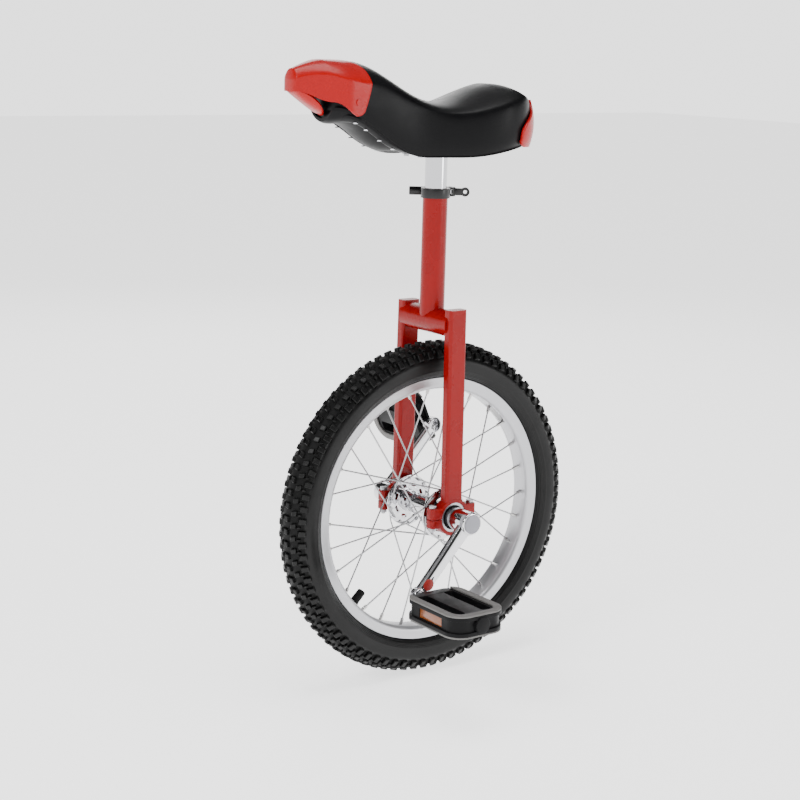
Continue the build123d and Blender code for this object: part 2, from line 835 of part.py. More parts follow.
def make_pedal_cones():
    """The outer cone and locknut that hold each pedal on its spindle."""
    cones = []
    for side in (1, -1):
        ring = hexagon(11.0) - Circle(pedal_spindle_radius)
        cones.append(at_pedal(side, plate_y(ring, side * (pedal_end - 20), side * (pedal_end - 15))))
    return group(cones)


tread_room = tread_thickness
window_x0 = pedal_barrel_radius + 1.5
window_x1 = pedal_depth / 2 - pedal_rail
window_y0 = pedal_start + 12
window_y1 = pedal_end - 15


def rounded_plan(depth, y0, y1, corner):
    return Pos(0, (y0 + y1) / 2) * RectangleRounded(depth, y1 - y0, corner)


def reflector_block(x, depth, proud):
    """A block in the front or rear face of the left pedal, about the pedal's axis."""
    face = x * (pedal_depth / 2 - pedal_groove)
    middle, half = (pedal_start + pedal_end) / 2, reflector_height / 2
    y0, y1 = middle - reflector_length / 2, middle + reflector_length / 2
    return block(face - x * depth, face - x * proud, y0, y1, -half, half)


def make_pedal_body(side):
    half = pedal_thickness / 2 - tread_room
    plan = rounded_plan(pedal_depth, pedal_start, pedal_end, pedal_corner)
    waist = rounded_plan(pedal_depth - 2 * pedal_groove, pedal_start + pedal_groove,
                         pedal_end - pedal_groove, pedal_corner - pedal_groove)
    window = RectangleRounded(window_x1 - window_x0, window_y1 - window_y0, 3)
    for x in (1, -1):
        plan -= Pos(x * (window_x0 + window_x1) / 2, (window_y0 + window_y1) / 2) * window
    groove = plate_z(rounded_plan(pedal_depth + 4, pedal_start - 2, pedal_end + 2, pedal_corner) - waist,
                     pedal_flange - half, half - pedal_flange)
    body = plate_z(plan, -half, half) - groove
    body += rod_y(pedal_barrel_radius, pedal_end - 6, pedal_end) & block(-20, 20, 0, 400, -half, half)
    inner_radius = pedal_spindle_radius + 1.5 + pedal_clearance
    body -= rod_y(inner_radius, pedal_start - 1, pedal_start + 10.5)
    body -= rod_y(pedal_spindle_radius + pedal_clearance, pedal_start, pedal_end - 20)
    body -= rod_y(7.5, pedal_end - 20.3, pedal_end + 1)
    for x in (1, -1):
        body -= reflector_block(x, 2.5, -1.0)
    if side < 0:
        body = mirror(body, about=Plane.XZ)
    return at_pedal(side, body)


def make_pedal_treads(side):
    """The gripping frames on both faces, open towards the crank."""
    plan = rounded_plan(pedal_depth, pedal_start, pedal_end, pedal_corner)
    inner_depth = pedal_depth - 2 * tread_rail
    inner_end = pedal_end - tread_rail
    open_start = pedal_start - 20
    plan -= Pos(0, (open_start + inner_end) / 2) * RectangleRounded(inner_depth, inner_end - open_start, 12)
    low, high = pedal_thickness / 2 - tread_room, pedal_thickness / 2
    pair = [plate_z(plan, low, high), plate_z(plan, -high, -low)]
    if side < 0:
        pair = [mirror(piece, about=Plane.XZ) for piece in pair]
    solids = [solid for piece in pair for solid in piece.solids()]
    return group(at_pedal(side, solid) for solid in solids)


def make_reflectors(side):
    pair = [reflector_block(x, 2.5, 0.8) for x in (1, -1)]
    if side < 0:
        pair = [mirror(piece, about=Plane.XZ) for piece in pair]
    return group(at_pedal(side, piece) for piece in pair)


def make_pedal_cap(side):
    cap = rod_y(9.5, side * pedal_end, side * (pedal_end + 1.8))
    cap += rod_y(7.5, side * (pedal_end - 4), side * pedal_end)
    return at_pedal(side, cap)


# ---------------------------------------------------------------- assembly

saddle_outer = saddle_clearance()
nodes = {
    "seat_tube": make_seat_tube(),
    "fork_crown": make_crown(),
    "fork_leg_left": make_leg(1),
    "fork_leg_right": make_leg(-1),
    "bearing_holder_left": make_holder(1),
    "bearing_holder_right": make_holder(-1),
    "bearing_cap_left": make_cap(1),
    "bearing_cap_right": make_cap(-1),
    "holder_bolts": make_holder_bolts(),
    "holder_nuts": make_holder_nuts(),
    "bearing_outer_left": bearing_ring(1, bearing_radius, bearing_outer_ring),
    "bearing_outer_right": bearing_ring(-1, bearing_radius, bearing_outer_ring),
    "bearing_balls": make_balls(),
    "bearing_seals": make_seals(),
    "seat_clamp_collar": make_collar(),
    "clamp_skewer": make_skewer(),
    "clamp_barrel_nut": make_barrel_nut(),
    "clamp_pivot_pin": make_pivot_pin(),
    "clamp_lever": make_lever(),
    "seatpost": make_seatpost(),
    "seatpost_bracket": make_bracket(),
    "saddle_base": make_base(),
    "saddle_foam": make_foam(),
    "saddle_cover": make_cover(),
    "front_bumper": make_front_bumper(saddle_outer),
    "rear_bumper": make_rear_bumper(saddle_outer),
    "saddle_staples": make_staples(),
    "saddle_studs": make_saddle_studs(),
    "saddle_nuts": make_saddle_nuts(),
    "bumper_screws": make_bumper_screws(),
    "hub_axle": make_axle(),
    "hub_barrel": make_hub_barrel(),
    "hub_flange_left": make_flange(1),
    "hub_flange_right": make_flange(-1),
    "bearing_inner_left": bearing_ring(1, bearing_inner_ring, axle_radius),
    "bearing_inner_right": bearing_ring(-1, bearing_inner_ring, axle_radius),
    "spokes_left": group(make_spoke(number) for number in range(0, spoke_count, 2)),
    "spokes_right": group(make_spoke(number) for number in range(1, spoke_count, 2)),
    "spoke_nipples": group(make_nipple(number) for number in range(spoke_count)),
    "rim": make_rim(),
    "rim_tape": make_rim_tape(),
    "inner_tube": make_inner_tube(),
    "valve_stem": make_valve_stem(),
    "valve_cap": make_valve_cap(),
    "tyre": make_tyre(),
    "crank_left": make_crank(1),
    "crank_right": make_crank(-1),
    "crank_nuts": make_crank_nuts(),
    "dust_caps": make_dust_caps(),
    "pedal_spindle_left": make_pedal_spindle(1),
    "pedal_spindle_right": make_pedal_spindle(-1),
    "pedal_cones": make_pedal_cones(),
    "pedal_body_left": make_pedal_body(1),
    "pedal_body_right": make_pedal_body(-1),
    "pedal_treads_left": make_pedal_treads(1),
    "pedal_treads_right": make_pedal_treads(-1),
    "pedal_reflectors_left": make_reflectors(1),
    "pedal_reflectors_right": make_reflectors(-1),
    "pedal_cap_left": make_pedal_cap(1),
    "pedal_cap_right": make_pedal_cap(-1),
}

os.makedirs("parts", exist_ok=True)
for name, shape in nodes.items():
    export_step(Pos(0, 0, axle_height) * shape, f"parts/{name}.step")
print(len(nodes), "nodes")
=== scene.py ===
# %% [markdown]
# # A unicycle, finished in Blender
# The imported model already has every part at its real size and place. This script keeps that frame
# and gives it what a working model leaves out: tread, moulded shells, upholstery and finishes.
# We load the frame first, and note its box, because nothing that we add may change the size.

# %% Load the frame
import json
from math import atan2, cos, pi, radians, sin, sqrt

import bmesh
import bpy
from mathutils import Matrix, Vector

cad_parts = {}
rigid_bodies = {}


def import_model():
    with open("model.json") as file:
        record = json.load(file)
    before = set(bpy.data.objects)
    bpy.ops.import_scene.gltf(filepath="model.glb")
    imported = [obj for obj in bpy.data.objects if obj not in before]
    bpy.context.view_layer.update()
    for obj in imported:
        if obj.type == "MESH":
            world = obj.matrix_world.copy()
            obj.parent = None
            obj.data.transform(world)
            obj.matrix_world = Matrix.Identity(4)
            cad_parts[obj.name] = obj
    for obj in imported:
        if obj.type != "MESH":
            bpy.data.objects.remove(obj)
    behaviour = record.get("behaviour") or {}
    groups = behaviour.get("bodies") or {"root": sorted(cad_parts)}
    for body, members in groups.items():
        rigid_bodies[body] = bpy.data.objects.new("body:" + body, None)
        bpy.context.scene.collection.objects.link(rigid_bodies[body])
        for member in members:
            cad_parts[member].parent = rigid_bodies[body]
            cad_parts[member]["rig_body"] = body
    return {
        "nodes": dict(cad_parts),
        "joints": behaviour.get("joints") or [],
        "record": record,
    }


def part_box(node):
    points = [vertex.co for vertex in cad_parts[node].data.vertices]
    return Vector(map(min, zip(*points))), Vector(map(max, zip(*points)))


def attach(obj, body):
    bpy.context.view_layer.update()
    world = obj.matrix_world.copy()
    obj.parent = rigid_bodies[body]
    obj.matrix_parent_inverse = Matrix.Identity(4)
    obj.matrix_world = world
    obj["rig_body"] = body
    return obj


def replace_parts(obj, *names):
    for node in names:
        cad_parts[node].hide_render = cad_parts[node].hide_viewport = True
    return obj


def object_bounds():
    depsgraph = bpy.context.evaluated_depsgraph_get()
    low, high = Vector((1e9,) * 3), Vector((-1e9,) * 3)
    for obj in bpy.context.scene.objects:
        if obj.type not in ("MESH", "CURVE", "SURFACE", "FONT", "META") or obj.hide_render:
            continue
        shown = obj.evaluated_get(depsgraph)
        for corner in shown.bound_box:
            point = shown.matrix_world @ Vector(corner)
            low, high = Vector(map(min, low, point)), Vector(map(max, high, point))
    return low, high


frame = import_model()
cad_low, cad_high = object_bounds()
MM = 0.001

# %% Sizes read from the frame
tyre_low, tyre_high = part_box("tyre")
AXLE = Vector((0, 0, (tyre_low.z + tyre_high.z) / 2))
TYRE_RADIUS = (tyre_high.z - tyre_low.z) / 2
TYRE_HALF = (tyre_high.y - tyre_low.y) / 2
rim_low, rim_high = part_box("rim")
RIM_EDGE = (rim_high.z - rim_low.z) / 2
RIM_HALF = (rim_high.y - rim_low.y) / 2
slots = {part["node"]: part["material_slot"] for part in frame["record"]["subparts"]}
print("tyre radius", round(TYRE_RADIUS, 4), "rim edge", round(RIM_EDGE, 4))


# %% [markdown]
# ## Helpers
# Three small tools do most of the work. `finish` turns a bmesh into a piece that rides on a body.
# `softened` copies a hard CAD piece and rounds its edges, because a real edge always catches a
# line of light. `skin` pulls a ring of vertices through a row of outlines, which makes any
# closed shell whose outline we can put in words.

# %% Turn a bmesh into a finished piece
def finish(bm, name, body, material, sharp=32):
    bmesh.ops.remove_doubles(bm, verts=bm.verts, dist=0.00001)
    bmesh.ops.recalc_face_normals(bm, faces=bm.faces)
    mesh = bpy.data.meshes.new(name)
    bm.to_mesh(mesh)
    bm.free()
    mesh.shade_smooth()
    mesh.set_sharp_from_angle(angle=radians(sharp))
    mesh.materials.append(material)
    piece = bpy.data.objects.new(name, mesh)
    bpy.context.scene.collection.objects.link(piece)
    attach(piece, body)
    print(name, len(mesh.polygons), "faces on", body)
    return piece


# %% Copy a CAD piece and round its edges
def softened(node, width, material, segments=2, sharp=28):
    source = frame["nodes"][node]
    bm = bmesh.new()
    bm.from_mesh(source.data)
    bmesh.ops.remove_doubles(bm, verts=bm.verts, dist=0.000003)
    bmesh.ops.dissolve_limit(bm, angle_limit=radians(0.4), verts=bm.verts, edges=bm.edges)
    hard = [e for e in bm.edges if e.is_manifold and e.calc_face_angle(0) > radians(sharp)]
    bmesh.ops.bevel(bm, geom=hard, offset=width, segments=segments, profile=0.5,
                    affect="EDGES", material=-1, clamp_overlap=True)
    piece = finish(bm, node + "_finished", source["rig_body"], material, sharp=40)
    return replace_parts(piece, node)


# %% Pull a ring through a row of outlines
def skin(bm, around, rows, point):
    """point(turn, row) gives the place of the vertex at that turn of that row's outline."""
    turn = bm.verts.layers.float.new("turn")
    ring = bmesh.ops.create_circle(bm, cap_ends=False, radius=1, segments=around)["verts"]
    for vert in ring:
        vert[turn] = atan2(vert.co.y, vert.co.x)
        vert.co = point(vert[turn], 0)
    edges = list({edge for vert in ring for edge in vert.link_edges})
    for row in range(1, rows):
        made = bmesh.ops.extrude_edge_only(bm, edges=edges)["geom"]
        ring = [item for item in made if isinstance(item, bmesh.types.BMVert)]
        for vert in ring:
            vert.co = point(vert[turn], row)
        inside = set(ring)
        edges = [item for item in made
                 if isinstance(item, bmesh.types.BMEdge) and set(item.verts) <= inside]


# %% Bend a grid into a sheet
def sheet(bm, columns, rows, point):
    """point(u, v) gives the place of a grid vertex, with u and v from 0 to 1."""
    made = bmesh.ops.create_grid(bm, x_segments=columns, y_segments=rows, size=0.5)["verts"]
    for vert in made:
        vert.co = point(vert.co.x + 0.5, vert.co.y + 0.5)


# %% Turn an outline about the axle
def turn_about_axle(bm, outline, steps):
    """outline is a closed row of (radius, y) in metres, from the axle."""
    verts = [bm.verts.new((r, y, AXLE.z)) for r, y in outline]
    edges = [bm.edges.new((a, b)) for a, b in zip(verts, verts[1:] + verts[:1])]
    bmesh.ops.spin(bm, geom=verts + edges, cent=AXLE, axis=(0, 1, 0), angle=2 * pi,
                   steps=steps, use_merge=True)


# %% Give a sheet a wall, and round the wall's edge
def thicken(piece, thickness, side=-1, edge=0.9):
    wall = piece.modifiers.new("wall", "SOLIDIFY")
    wall.thickness = thickness * MM
    wall.offset = side
    rounding = piece.modifiers.new("edge", "BEVEL")
    rounding.width = edge * MM
    rounding.segments = 2
    rounding.limit_method = "ANGLE"
    rounding.angle_limit = radians(50)


# %% A smooth change from one value to another
def ease(x, x0, value0, x1, value1):
    share = min(max((x - x0) / (x1 - x0), 0.0), 1.0)
    return value0 + (value1 - value0) * (1 - cos(pi * share)) / 2


# %% [markdown]
# ## Camera, floor and light
# The camera stands to the rider's front left, a little above the axle, with a long lens, so that
# the wheel keeps its shape. A pale glowing floor and large soft lamps are all that a product
# needs. The sky is dark half way up, so that chrome has something dark to reflect.

# %% Camera
camera_data = bpy.data.cameras.new("camera")
camera_data.lens = 78.12
camera = bpy.data.objects.new("camera", camera_data)
bpy.context.scene.collection.objects.link(camera)
HEADING, TILT, ROLL = 143.81, 78.10, 1.57
turned = Matrix.Rotation(radians(HEADING), 4, "Z") @ Matrix.Rotation(radians(TILT), 4, "X")
camera.matrix_world = (Matrix.Translation((1.1998, 1.5825, 0.7464)) @ turned
                       @ Matrix.Rotation(radians(ROLL), 4, "Z"))
bpy.context.scene.camera = camera

# %% Floor
bm = bmesh.new()
bmesh.ops.create_grid(bm, x_segments=2, y_segments=2, size=12)
floor_mesh = bpy.data.meshes.new("floor")
bm.to_mesh(floor_mesh)
bm.free()
floor = bpy.data.objects.new("floor", floor_mesh)
bpy.context.scene.collection.objects.link(floor)
floor_material = bpy.data.materials.new("floor")
floor_material.use_nodes = True
floor_shader = floor_material.node_tree.nodes["Principled BSDF"]
floor_shader.inputs["Roughness"].default_value = 0.9
floor_shader.inputs["Specular IOR Level"].default_value = 0.1
floor_shader.inputs["Base Color"].default_value = (0.93, 0.93, 0.93, 1)
floor_shader.inputs["Emission Color"].default_value = (1, 1, 1, 1)
floor_shader.inputs["Emission Strength"].default_value = 1.6
floor_mesh.materials.append(floor_material)


# %% Lamps
def lamp(name, place, aim, size, power):
    data = bpy.data.lights.new(name, "AREA")
    data.shape, data.size, data.size_y = "RECTANGLE", size[0], size[1]
    data.energy = power
    light = bpy.data.objects.new(name, data)
    light.location = place
    light.rotation_euler = (Vector(aim) - Vector(place)).to_track_quat("-Z", "Y").to_euler()
    bpy.context.scene.collection.objects.link(light)


lamp("key", (2.2, 0.6, 1.9), (0, 0, 0.4), (1.0, 0.8), 34)
lamp("fill", (-1.6, 2.2, 1.1), (0, 0, 0.35), (0.7, 1.6), 22)
lamp("top", (0.1, 0.1, 2.6), (0, 0, 0), (1.3, 1.3), 36)
lamp("back", (-1.2, -2.2, 1.6), (0, 0, 0.4), (1.6, 1.2), 20)

# %% Sky
world = bpy.data.worlds.new("studio")
bpy.context.scene.world = world
world.use_nodes = True
sky = world.node_tree
direction = sky.nodes.new("ShaderNodeTexCoord")
height = sky.nodes.new("ShaderNodeSeparateXYZ")
ramp = sky.nodes.new("ShaderNodeValToRGB")
sky.links.new(direction.outputs["Generated"], height.inputs[0])
sky.links.new(height.outputs["Z"], ramp.inputs["Fac"])
sky.links.new(ramp.outputs["Color"], sky.nodes["Background"].inputs["Color"])
shades = [(0.0, 2.3), (0.15, 2.3), (0.22, 0.05), (0.6, 0.03), (0.85, 0.6), (1.0, 0.8)]
while len(ramp.color_ramp.elements) < len(shades):
    ramp.color_ramp.elements.new(0.5)
for element, (place, grey) in zip(ramp.color_ramp.elements, shades):
    element.position = place
    element.color = (grey, grey, grey, 1)
sky.nodes["Background"].inputs["Strength"].default_value = 1.0
print("lamps", len(bpy.data.lights))


# %% [markdown]
# ## Finishes
# No real surface has one flat colour. Each finish here starts from the same recipe: a slow noise
# shifts the colour and the roughness a little, and a fine one raises a grain. Then each finish
# adds what makes it itself: the pebbles of vinyl, the rings of a turned rim, the prisms of a lens.

# %% The recipe that every finish starts from
def base_finish(name, colour, rough, metal=0.0, spread=0.06, tint=0.8, patch=45.0, coat=0.0,
                grain=1200.0, depth=0.02, shine=0.5):
    material = bpy.data.materials.new(name)
    material.use_nodes = True
    nodes, links = material.node_tree.nodes, material.node_tree.links
    shader = nodes["Principled BSDF"]
    shader.inputs["Metallic"].default_value = metal
    shader.inputs["Coat Weight"].default_value = coat
    shader.inputs["Coat Roughness"].default_value = 0.08
    shader.inputs["Specular IOR Level"].default_value = shine
    where = nodes.new("ShaderNodeTexCoord")
    where.name = "where"
    patches = nodes.new("ShaderNodeTexNoise")
    patches.inputs["Scale"].default_value = patch
    patches.inputs["Detail"].default_value = 6
    links.new(where.outputs["Object"], patches.inputs["Vector"])
    mix = nodes.new("ShaderNodeMix")
    mix.data_type = "RGBA"
    mix.name = "colour"
    mix.inputs["A"].default_value = (*(c * tint for c in colour), 1)
    mix.inputs["B"].default_value = (*colour, 1)
    links.new(patches.outputs["Fac"], mix.inputs["Factor"])
    links.new(mix.outputs["Result"], shader.inputs["Base Color"])
    range_node = nodes.new("ShaderNodeMapRange")
    range_node.inputs["From Min"].default_value = 0.3
    range_node.inputs["From Max"].default_value = 0.7
    range_node.inputs["To Min"].default_value = rough - spread
    range_node.inputs["To Max"].default_value = rough + spread
    links.new(patches.outputs["Fac"], range_node.inputs["Value"])
    links.new(range_node.outputs["Result"], shader.inputs["Roughness"])
    fine = nodes.new("ShaderNodeTexNoise")
    fine.inputs["Scale"].default_value = grain
    fine.inputs["Detail"].default_value = 3
    links.new(where.outputs["Object"], fine.inputs["Vector"])
    add_bump(material, fine.outputs["Fac"], depth)
    return material


# %% Lay one more relief over a finish
def add_bump(material, height, depth):
    """depth is in millimetres, from the lowest to the highest of the height."""
    nodes, links = material.node_tree.nodes, material.node_tree.links
    normal = nodes["Principled BSDF"].inputs["Normal"]
    bump = nodes.new("ShaderNodeBump")
    bump.inputs["Distance"].default_value = depth * MM
    links.new(height, bump.inputs["Height"])
    if normal.is_linked:
        links.new(normal.links[0].from_socket, bump.inputs["Normal"])
    links.new(bump.outputs["Normal"], normal)


# %% Two nodes that several finishes need
def maths(material, operation, first, second=None):
    node = material.node_tree.nodes.new("ShaderNodeMath")
    node.operation = operation
    for socket, value in zip(node.inputs, (first, second)):
        if isinstance(value, (int, float)):
            socket.default_value = value
        elif value is not None:
            material.node_tree.links.new(value, socket)
    return node.outputs[0]


def wheel_radius(material):
    """The distance from the axle's line, in metres, worked out from the Object coordinates."""
    nodes, links = material.node_tree.nodes, material.node_tree.links
    split = nodes.new("ShaderNodeSeparateXYZ")
    links.new(nodes["where"].outputs["Object"], split.inputs[0])
    up = maths(material, "SUBTRACT", split.outputs["Z"], AXLE.z)
    squares = maths(material, "ADD", maths(material, "MULTIPLY", split.outputs["X"], split.outputs["X"]),
                    maths(material, "MULTIPLY", up, up))
    return maths(material, "SQRT", squares)


# %% Vinyl
def vinyl():
    material = base_finish("vinyl", (0.0035, 0.0035, 0.004), 0.36, spread=0.05, tint=0.75,
                           depth=0.01, shine=0.1)
    nodes, links = material.node_tree.nodes, material.node_tree.links
    pebbles = nodes.new("ShaderNodeTexVoronoi")
    pebbles.feature = "SMOOTH_F1"
    pebbles.inputs["Scale"].default_value = 950
    links.new(nodes["where"].outputs["Object"], pebbles.inputs["Vector"])
    add_bump(material, pebbles.outputs["Distance"], 0.05)
    creases = nodes.new("ShaderNodeTexNoise")
    creases.inputs["Scale"].default_value = 34
    creases.inputs["Detail"].default_value = 5
    links.new(nodes["where"].outputs["Object"], creases.inputs["Vector"])
    add_bump(material, creases.outputs["Fac"], 0.35)
    return material


# %% Tyre rubber, with moulded rings near the rim
def tyre_rubber():
    material = base_finish("tyre_rubber", (0.003, 0.003, 0.003), 0.4, spread=0.1, tint=0.6,
                           patch=30, grain=1500, depth=0.05, shine=0.22)
    radius = wheel_radius(material)
    waves = maths(material, "SINE", maths(material, "MULTIPLY", radius, 2 * pi / (1.6 * MM)))
    band = maths(material, "LESS_THAN", radius, RIM_EDGE + 8 * MM)
    add_bump(material, maths(material, "MULTIPLY", waves, band), 0.12)
    return material


# %% Rim alloy, with the fine rings that rolling leaves
def rim_alloy():
    material = base_finish("rim_alloy", (0.5, 0.5, 0.52), 0.34, metal=0.75, spread=0.04, tint=0.93,
                           depth=0.006)
    ring_pitch = 0.35 * MM
    turns = maths(material, "MULTIPLY", wheel_radius(material), 2 * pi / ring_pitch)
    waves = maths(material, "SINE", turns)
    add_bump(material, waves, 0.004)
    return material


# %% Amber lens, with rows of small prisms
def amber_lens():
    material = base_finish("amber_lens", (0.27, 0.07, 0.01), 0.22, spread=0.05, tint=0.55, patch=260,
                           coat=0.4, depth=0.004)
    nodes, links = material.node_tree.nodes, material.node_tree.links
    prisms = nodes.new("ShaderNodeTexVoronoi")
    prisms.distance = "CHEBYCHEV"
    prisms.inputs["Scale"].default_value = 330
    prisms.inputs["Randomness"].default_value = 0.0
    links.new(nodes["where"].outputs["Object"], prisms.inputs["Vector"])
    add_bump(material, prisms.outputs["Distance"], 0.5)
    return material


# %% The palette
finishes = {
    "red_paint": base_finish("red_paint", (0.27, 0.0018, 0.0016), 0.28, spread=0.05, tint=0.75,
                             grain=260, depth=0.02, shine=0.2),
    "zinc_steel": base_finish("zinc_steel", (0.45, 0.45, 0.47), 0.3, metal=1, spread=0.08, depth=0.01),
    "black_rubber": base_finish("black_rubber", (0.004, 0.004, 0.004), 0.6,
                                spread=0.08, depth=0.03, shine=0.15),
    "black_paint": base_finish("black_paint", (0.004, 0.004, 0.0045), 0.3,
                               spread=0.06, depth=0.02, shine=0.35),
    "chrome": base_finish("chrome", (0.66, 0.66, 0.68), 0.09, metal=1, spread=0.04, tint=0.95,
                          patch=20, grain=500, depth=0.002),
    "steel_rod": base_finish("steel_rod", (0.42, 0.42, 0.43), 0.26, metal=1, spread=0.06, depth=0.006),
    "silver_nipple": base_finish("silver_nipple", (0.62, 0.61, 0.6), 0.28, metal=1, depth=0.006),
    "black_plastic": base_finish("black_plastic", (0.005, 0.005, 0.0055), 0.42,
                                 spread=0.07, depth=0.04, shine=0.1),
    "foam": base_finish("foam", (0.50, 0.46, 0.36), 0.95, spread=0.04, grain=800, depth=0.4),
    "black_vinyl": vinyl(),
    "red_plastic": base_finish("red_plastic", (0.36, 0.003, 0.0035), 0.27, spread=0.05, tint=0.88,
                               grain=420, depth=0.02, shine=0.2),
    "rim_alloy": rim_alloy(),
    "tape": base_finish("tape", (0.05, 0.05, 0.055), 0.7, depth=0.03),
    "brass_stem": base_finish("brass_stem", (0.6, 0.43, 0.19), 0.3, metal=1, depth=0.01),
    "tyre_rubber": tyre_rubber(),
    "grey_cap": base_finish("grey_cap", (0.27, 0.27, 0.30), 0.38, metal=0.35, tint=0.92, depth=0.01),
    "grey_tread": base_finish("grey_tread", (0.17, 0.165, 0.16), 0.85, spread=0.05, tint=0.7, patch=500,
                              grain=1400, depth=0.25),
    "amber_lens": amber_lens(),
}
print(len(finishes), "finishes")

# %% Give every CAD node its finish
for name, slot in slots.items():
    node = frame["nodes"][name]
    node.data.materials.clear()
    node.data.materials.append(finishes[slot])
# The bumper's screws are hidden by caps of its own colour.
frame["nodes"]["bumper_screws"].data.materials[0] = finishes["red_plastic"]


# %% [markdown]
# ## Tyre
# An off-road tyre is a round carcass with blocks of rubber moulded on it. The carcass is an
# outline spun about the axle. The blocks repeat, so one pitch of them is modelled, each a cube
# that is tapered and bevelled, and then spun into a ring of copies.

# %% Carcass
SECTION = TYRE_RADIUS - TYRE_HALF
SIDEWALL = TYRE_HALF - 1.4 * MM
TREAD_FLOOR = TYRE_HALF - 6.3 * MM
WALL = 3 * MM


def carcass_radius(turn):
    """Distance from the section's centre at a turn, in degrees, away from the crown."""
    return ease(abs(turn), 48, TREAD_FLOOR, 82, SIDEWALL)


def carcass_outline():
    outside = []
    for step in range(-62, 63):
        turn = step * 2.0
        reach = carcass_radius(turn) + 0.45 * MM * max(0, cos(radians(abs(turn) - 109) * 16)) ** 3 * (
            97 < abs(turn) < 121)
        outside.append((SECTION + reach * cos(radians(turn)), reach * sin(radians(turn))))
    bead = [(RIM_EDGE + 0.6 * MM, RIM_HALF + 0.8 * MM), (RIM_EDGE - 1 * MM, RIM_HALF - 2.2 * MM),
            (RIM_EDGE - 6 * MM, RIM_HALF - 2.4 * MM), (RIM_EDGE - 6 * MM, RIM_HALF - 6 * MM)]
    inside = []
    for step in range(-20, 21):
        turn = step * 6.0
        reach = carcass_radius(turn) - WALL
        inside.append((SECTION + reach * cos(radians(turn)), reach * sin(radians(turn))))
    return ([(r, -y) for r, y in reversed(bead)] + outside + bead + inside[::-1])


bm = bmesh.new()
turn_about_axle(bm, carcass_outline(), 144)
tyre = finish(bm, "tyre_carcass", "wheel", finishes["tyre_rubber"])
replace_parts(tyre, "tyre")

# %% One block of the tread
PITCHES = 84


def tread_block(bm, lean, ahead, long, wide, taper, side=1, skew=0.0):
    """A block on the section at a lean from the crown, in degrees, and ahead round the wheel."""
    old = set(bm.verts)
    foot, top = TREAD_FLOOR - 1.0 * MM, TYRE_HALF - 0.1 * MM
    made = bmesh.ops.create_cube(bm, size=1)["verts"]
    for vert in made:
        size = taper if vert.co.z > 0 else 1.0
        across, along = vert.co.y * wide * size, vert.co.x * long * size
        vert.co = (along + skew * across, across, top if vert.co.z > 0 else foot)
    brim = {e for v in made for e in v.link_edges if sum(w.co.z > foot + MM for w in e.verts)}
    bmesh.ops.bevel(bm, geom=list(brim), offset=0.6 * MM, segments=1, profile=0.5,
                    affect="EDGES", material=-1)
    made = [vert for vert in bm.verts if vert not in old]
    place = (Matrix.Translation(AXLE) @ Matrix.Rotation(ahead, 4, "Y") @ Matrix.Translation((0, 0, SECTION))
             @ Matrix.Rotation(-side * radians(lean), 4, "X"))
    bmesh.ops.transform(bm, matrix=place, verts=made)


# %% A ring of blocks
bm = bmesh.new()
pitch = 2 * pi / PITCHES
for side in (1, -1):
    tread_block(bm, 11, 0.0, 7.4 * MM, 7.0 * MM, 0.78, side=side, skew=0.25 * side)
    tread_block(bm, 34, pitch / 2, 7.2 * MM, 7.4 * MM, 0.76, side=side, skew=-0.2 * side)
    tread_block(bm, 59, 0.1 * pitch, 8.4 * MM, 11.5 * MM, 0.7, side=side)
    tread_block(bm, 50, 0.6 * pitch, 3.4 * MM, 6.0 * MM, 0.6, side=side)
bmesh.ops.spin(bm, geom=bm.verts[:] + bm.edges[:] + bm.faces[:], cent=AXLE, axis=(0, 1, 0),
               angle=2 * pi * (PITCHES - 1) / PITCHES, steps=PITCHES - 1, use_duplicate=True)
blocks = finish(bm, "tyre_tread_blocks", "wheel", finishes["tyre_rubber"])
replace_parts(blocks, "tyre")

# %% [markdown]
# ## Rim, label and valve cap
# The rim is one rolled channel, so its section is spun and its long edges are bevelled. A plain
# dark label wraps part of its inner face, and the valve's rubber cap is a short turned piece.

# %% Rim
RIM_INNER = RIM_EDGE - 14 * MM
side_wall = [(RIM_INNER, RIM_HALF - 4.2 * MM), (RIM_INNER + 0.9 * MM, RIM_HALF - 2.2 * MM),
             (RIM_INNER + 3.2 * MM, RIM_HALF - 0.3 * MM), (RIM_INNER + 5.5 * MM, RIM_HALF),
             (RIM_EDGE - 2 * MM, RIM_HALF), (RIM_EDGE - 0.5 * MM, RIM_HALF + 0.5 * MM),
             (RIM_EDGE, RIM_HALF), (RIM_EDGE, RIM_HALF - 1.6 * MM),
             (RIM_INNER + 4.2 * MM, RIM_HALF - 1.6 * MM), (RIM_INNER + 1.6 * MM, RIM_HALF - 5 * MM)]
rim_outline = side_wall + [(r, -y) for r, y in reversed(side_wall)]
bm = bmesh.new()
turn_about_axle(bm, rim_outline, 224)
rim = finish(bm, "rim_finished", "wheel", finishes["rim_alloy"], sharp=50)
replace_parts(rim, "rim")

# %% Label
label_finish = base_finish("label", (0.012, 0.012, 0.013), 0.22, coat=0.5, depth=0.004)
LABEL_FROM, LABEL_TO = 128, 141


def label_point(u, v):
    angle = radians(LABEL_FROM + (LABEL_TO - LABEL_FROM) * u)
    radius = RIM_INNER - 0.12 * MM
    return AXLE + Vector((radius * cos(angle), (v - 0.5) * 11 * MM, radius * sin(angle)))


bm = bmesh.new()
sheet(bm, 16, 2, label_point)
bmesh.ops.solidify(bm, geom=bm.faces[:], thickness=0.1 * MM)
finish(bm, "rim_label", "wheel", label_finish)

